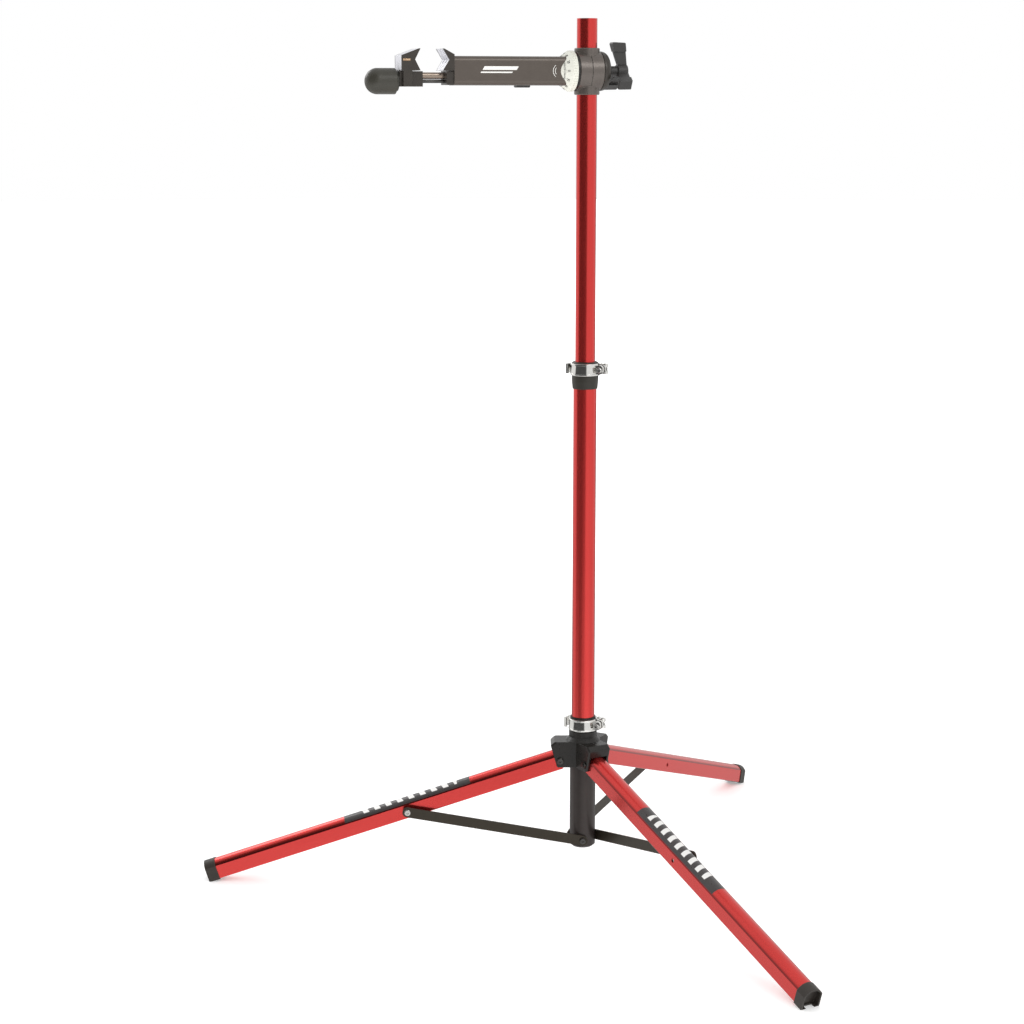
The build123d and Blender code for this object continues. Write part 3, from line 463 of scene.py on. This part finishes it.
def on_dial(along, turn, lift):
    """A point on the dial's cone, that far along the arm and that far round."""
    radius = DIAL_R - (along - DIAL_RIM) * (DIAL_R - DIAL_TIP_R) / (DIAL_END - DIAL_RIM) + lift
    return Vector((-along, -radius * cos(turn), ARM_AXIS_Z + radius * sin(turn)))


def dial_strip(data, from_along, to_along, from_turn, to_turn, steps):
    """One printed strip of the scale."""
    made = bmesh.ops.create_grid(data, x_segments=steps, y_segments=1, size=0.5)
    for vertex in made["verts"]:
        vertex.co = on_dial(from_along + (vertex.co.y + 0.5) * (to_along - from_along),
                            from_turn + (vertex.co.x + 0.5) * (to_turn - from_turn), 0.08 * MM)


scale_data = bmesh.new()
dial_strip(scale_data, SCALE_LINE, SCALE_LINE_END, 0.0, 2 * pi, 96)
for index in range(TICK_COUNT):
    turn = index * 2 * pi / TICK_COUNT
    tick_start = SHORT_TICK if index % TICKS_A_NUMBER else LONG_TICK
    dial_strip(scale_data, tick_start, TICK_END, turn - TICK_HALF_TURN, turn + TICK_HALF_TURN, 1)
bmesh.ops.solidify(scale_data, geom=scale_data.faces[:], thickness=-0.1 * MM)
finish_piece("dial_scale", scale_data, dark_ink, "clamp")

numbers_data = bmesh.new()
for index in range(NUMBER_COUNT):
    words = bpy.data.curves.new("dial number", "FONT")
    words.body = str(min(index, NUMBER_COUNT - index) * 30)
    words.size, words.align_x = NUMBER_HEIGHT, "CENTER"
    holder = bpy.data.objects.new("dial number", words)
    flat = bpy.data.meshes.new_from_object(holder)
    number = bmesh.new()
    number.from_mesh(flat)
    bmesh.ops.triangulate(number, faces=number.faces[:])
    for vertex in number.verts:
        turn = index * 2 * pi / NUMBER_COUNT - vertex.co.x / NUMBER_RADIUS
        vertex.co = on_dial(NUMBER_BASE - vertex.co.y, turn, 0.22 * MM)
    number.to_mesh(flat)
    number.free()
    numbers_data.from_mesh(flat)
    bpy.data.objects.remove(holder)
bmesh.ops.solidify(numbers_data, geom=numbers_data.faces[:], thickness=-0.12 * MM)
finish_piece("dial_numbers", numbers_data, dark_ink, "clamp")


# ---------------------------------------------------------------- stage, light and camera
CAMERA_YAW = radians(-17.28)
camera_data = bpy.data.cameras.new("studio camera")
camera_data.lens, camera_data.sensor_width = 78.05, 36.0
camera_data.clip_start, camera_data.clip_end = 0.1, 60.0
camera = bpy.data.objects.new("studio camera", camera_data)
camera.location = (-1.3775, -3.9612, 1.520)
camera.rotation_euler = (radians(79.44), 0.0, CAMERA_YAW)
scene.collection.objects.link(camera)
scene.camera = camera
scene.view_settings.view_transform = "Standard"

floor_material, floor_tree, floor_shader = start_material("pale studio floor")
floor_point = object_point(floor_tree)
floor_colour = blend_colours(floor_tree, noise(floor_tree, floor_point, 3.0),
                             rgba((0.90, 0.90, 0.90)), rgba((0.93, 0.93, 0.925)))
put(floor_tree, floor_colour, floor_shader.inputs["Base Color"])
# Painted light: the floor glows with its own colour. Emission rises from 0.32 near the stand, which
# lifts its shadows, to 1.1 far out, where the floor melts into the white world.
put(floor_tree, floor_colour, floor_shader.inputs["Emission Color"])
floor_reach = vector_maths(floor_tree, "LENGTH", floor_point)
put(floor_tree, step_between(floor_tree, floor_reach, 0.9, 3.2, 0.32, 1.1),
    floor_shader.inputs["Emission Strength"])
floor_shader.inputs["Roughness"].default_value = 0.6
floor_data = bmesh.new()
bmesh.ops.create_circle(floor_data, cap_ends=True, segments=96, radius=30.0)
floor_mesh = bpy.data.meshes.new("floor")
floor_data.to_mesh(floor_mesh)
floor_data.free()
floor_mesh.materials.append(floor_material)
floor = bpy.data.objects.new("floor", floor_mesh)
floor.visible_glossy = False
scene.collection.objects.link(floor)

world = bpy.data.worlds.new("soft studio")
world.use_nodes = True
scene.world = world
sky = world.node_tree
background = sky.nodes["Background"]
direction = sky.nodes.new("ShaderNodeTexCoord").outputs["Generated"]
to_right = (cos(CAMERA_YAW), sin(CAMERA_YAW), 0.0)
to_viewer = (sin(CAMERA_YAW), -cos(CAMERA_YAW), 0.0)
rightward = vector_maths(sky, "DOT_PRODUCT", direction, to_right)
viewward = vector_maths(sky, "DOT_PRODUCT", direction, to_viewer)
upward = vector_maths(sky, "DOT_PRODUCT", direction, (0.0, 0.0, 1.0))
# Darker parts of the room, seen only in reflections
gap = product(sky, step_between(sky, rightward, 0.10, 0.24, 1.0, 0.0),
              step_between(sky, viewward, 0.02, 0.14),
              step_between(sky, upward, -0.30, -0.20),
              step_between(sky, upward, 0.84, 0.95, 1.0, 0.0))
low_gap = product(sky, step_between(sky, rightward, -0.34, -0.22, 1.0, 0.0),
                  step_between(sky, rightward, -0.85, -0.70),
                  step_between(sky, upward, -0.24, -0.18, 1.0, 0.0),
                  step_between(sky, upward, -0.52, -0.42))
far_edge = product(sky, step_between(sky, rightward, 0.12, 0.26),
                   step_between(sky, viewward, -0.60, -0.74, 0.0, 1.0),
                   step_between(sky, upward, 0.05, -0.03, 0.0, 1.0))
# The floor in front reflects a little brighter
front_floor = product(sky, step_between(sky, upward, -0.20, -0.27, 0.0, 1.0),
                      step_between(sky, viewward, 0.2, 0.7))
level = maths(sky, "MULTIPLY_ADD", front_floor, 0.42, 0.90)
for mask, share in ((gap, 0.92), (low_gap, 0.6), (far_edge, 0.7)):
    level = dimmed(sky, level, mask, share)
shade = sky.nodes.new("ShaderNodeCombineXYZ")
for channel in shade.inputs:
    put(sky, level, channel)
light_path = sky.nodes.new("ShaderNodeLightPath")
put(sky, blend_colours(sky, light_path.outputs["Is Glossy Ray"],
                       rgba((1.0, 1.0, 1.0)), shade.outputs[0]),
    background.inputs["Color"])


def soft_box(name, place, aim, width, height, power):
    """A rectangular area light turned towards a point."""
    data = bpy.data.lights.new(name, "AREA")
    data.shape, data.size, data.size_y, data.energy = "RECTANGLE", width, height, power
    light = bpy.data.objects.new(name, data)
    light.location = place
    light.rotation_euler = (Vector(aim) - Vector(place)).to_track_quat("-Z", "Y").to_euler()
    scene.collection.objects.link(light)


soft_box("key soft box", (1.24, -3.07, 3.78), (0, 0, 0.9), 1.8, 1.6, 26.0)
soft_box("back soft box", (-1.6, 3.4, 3.0), (0, 0, 0.6), 2.0, 1.4, 30.0)
